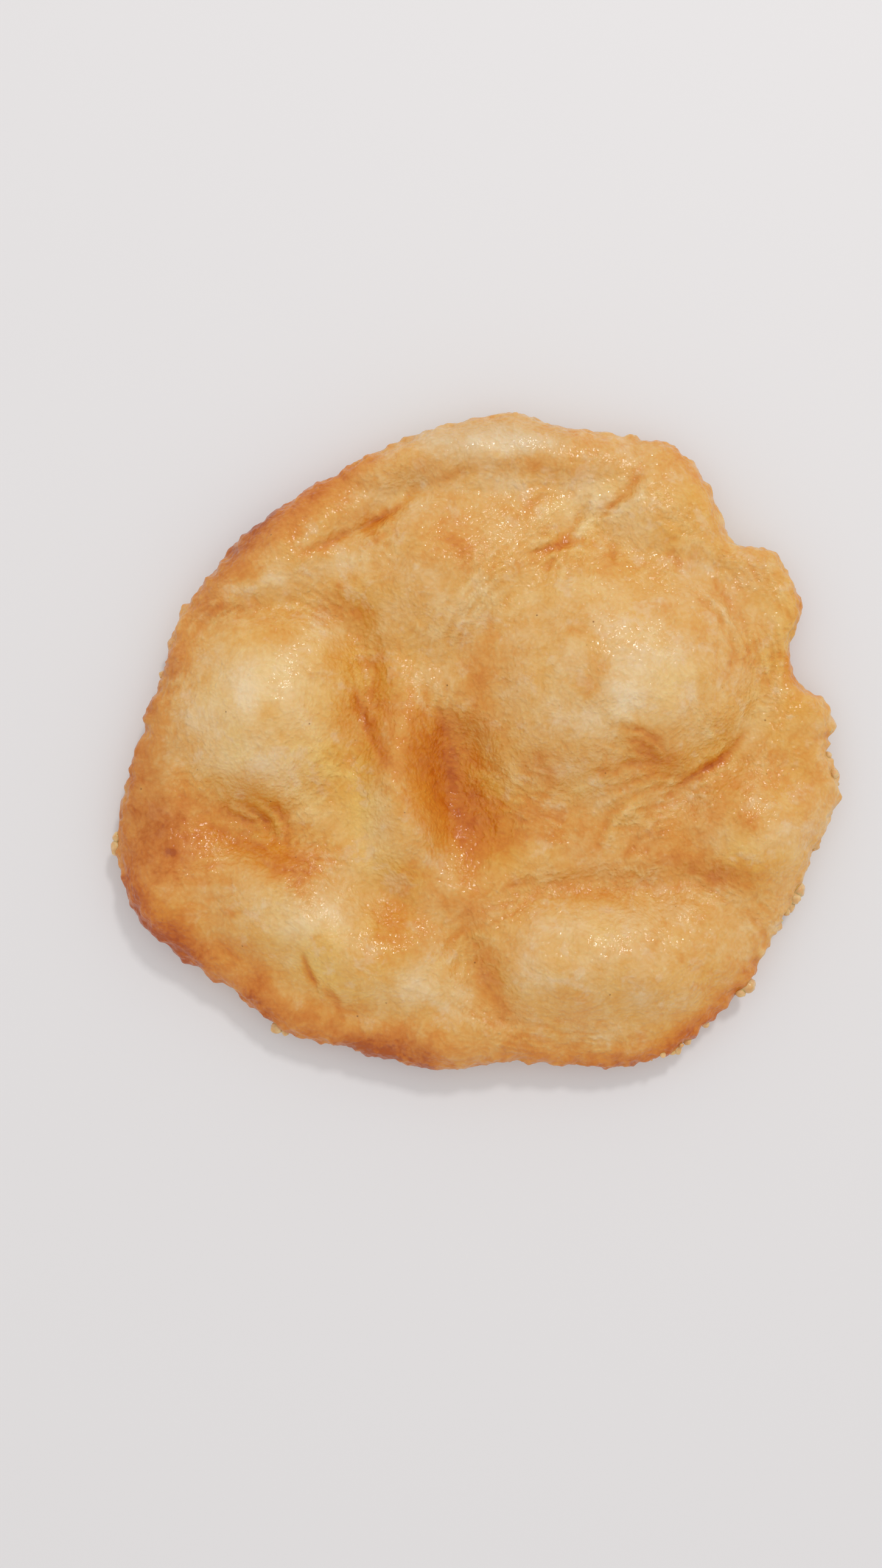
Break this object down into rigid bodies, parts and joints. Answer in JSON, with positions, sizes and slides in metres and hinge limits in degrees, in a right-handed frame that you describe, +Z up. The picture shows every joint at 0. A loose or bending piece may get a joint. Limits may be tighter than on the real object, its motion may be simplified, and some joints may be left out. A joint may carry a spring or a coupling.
{
  "type": "fry bread",
  "caption": "Round of puffed fried dough with an uneven rim, air-filled blisters on top, pinched furrows between them and a low lumpy underside.",
  "frame": {"origin": "centre of the bounding box's bottom face, on the plane the bread rests on", "axes": "+Z up out of the blistered top, +X along the bread's longest side"},
  "size_m": [0.1823, 0.1654, 0.0296],
  "materials": {
    "fried_crust": null
  },
  "bodies": {
    "root": {"fry_bread": "fried_crust"}
  },
  "joints": []
}
